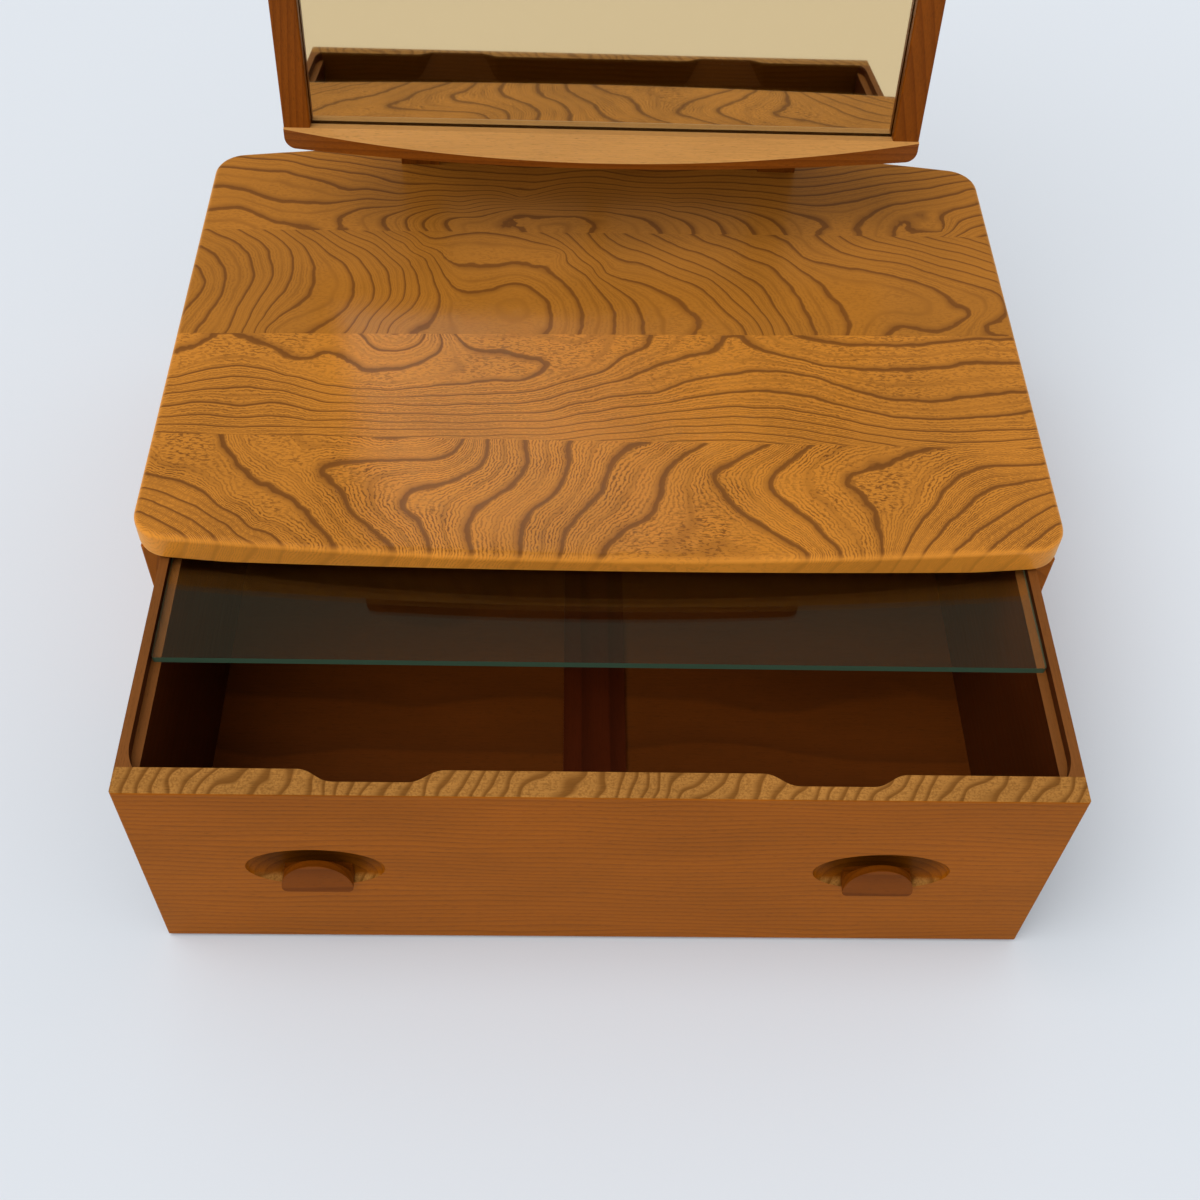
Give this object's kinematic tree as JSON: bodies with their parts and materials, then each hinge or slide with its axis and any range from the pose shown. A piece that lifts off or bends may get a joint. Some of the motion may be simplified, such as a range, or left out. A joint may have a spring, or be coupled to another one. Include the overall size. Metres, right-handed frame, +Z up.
{
  "type": "dressing mirror with drawer",
  "caption": "Tilting framed mirror on a stand above a bow-fronted wooden box whose wide drawer holds a sliding glass tray and opens by half-moon pulls in oval recesses.",
  "frame": {"origin": "middle of the case's underside, on the surface the piece stands on", "axes": "+Z up, +X to the viewer's right, the drawer pulls out towards -Y and the mirror faces -Y"},
  "size_m": [0.614, 0.6125, 0.7365],
  "materials": {
    "elm_top": "satin wax, strongly figured elm",
    "elm_case": "satin wax elm",
    "elm_frame": "satin wax elm",
    "drawer_timber": "stained hardwood, satin",
    "drawer_panel": "veneered panel, satin",
    "backboard": "unfinished hardboard",
    "beech": "bare beech",
    "glass": "clear float glass, polished edge",
    "mirror": "silvered float glass",
    "steel": "plated steel",
    "brass": "plain brass",
    "fibre": "vulcanised fibre"
  },
  "bodies": {
    "base": {"top_plank_front": "elm_top", "top_plank_mid_front": "elm_top", "top_plank_mid_rear": "elm_top", "top_plank_rear": "elm_top", "case_side_right": "elm_case", "case_side_left": "elm_case", "case_bottom": "drawer_panel", "case_back": "drawer_panel", "runner_right": "beech", "runner_left": "beech", "drawer_stops": "beech", "top_dowels_right": "beech", "top_dowels_left": "beech", "upright_right": "elm_frame", "upright_left": "elm_frame", "stand_spindle": "elm_frame", "stand_cross_rail": "elm_frame", "stand_low_rail": "elm_frame", "stand_screws": "brass"},
    "drawer": {"drawer_front": "elm_case", "drawer_side_right": "drawer_timber", "drawer_side_left": "drawer_timber", "drawer_back": "drawer_timber", "drawer_bottom_right": "drawer_panel", "drawer_bottom_left": "drawer_panel", "drawer_muntin": "drawer_timber", "pull_right": "elm_case", "pull_left": "elm_case"},
    "tray": {"glass_tray": "glass"},
    "mirror": {"mirror_stile_right": "elm_frame", "mirror_stile_left": "elm_frame", "mirror_rail_bottom": "elm_frame", "mirror_rail_top": "elm_frame", "mirror_glass": "mirror", "mirror_backboard": "backboard", "backboard_pins": "brass", "mirror_batten": "elm_frame", "batten_screws": "brass", "pivot_block_right": "elm_frame", "pivot_block_left": "elm_frame", "pivot_bolt_right": "steel", "pivot_bolt_left": "steel", "friction_washer_right": "fibre", "friction_washer_left": "fibre"},
    "knob_right": {"clamp_knob_right": "elm_frame", "knob_washer_right": "steel"},
    "knob_left": {"clamp_knob_left": "elm_frame", "knob_washer_left": "steel"}
  },
  "joints": [
    {"name": "drawer_slide", "type": "slide", "parent": "base", "child": "drawer", "axis": [0, 1, 0], "range_m": [-0.1, 0.186]},
    {"name": "tray_slide", "type": "slide", "parent": "drawer", "child": "tray", "axis": [0, 1, 0], "range_m": [-0.07, 0.062]},
    {"name": "mirror_tilt", "type": "hinge", "parent": "base", "child": "mirror", "pos_m": [0, 0.204, 0.50619], "axis": [-1, 0, 0], "range_deg": [-12, 25]},
    {"name": "knob_right_turn", "type": "hinge", "parent": "mirror", "child": "knob_right", "pos_m": [0.17, 0.204, 0.50619], "axis": [1, 0, 0], "range_deg": [-180, 180]},
    {"name": "knob_left_turn", "type": "hinge", "parent": "mirror", "child": "knob_left", "pos_m": [-0.17, 0.204, 0.50619], "axis": [-1, 0, 0], "range_deg": [-180, 180]}
  ]
}
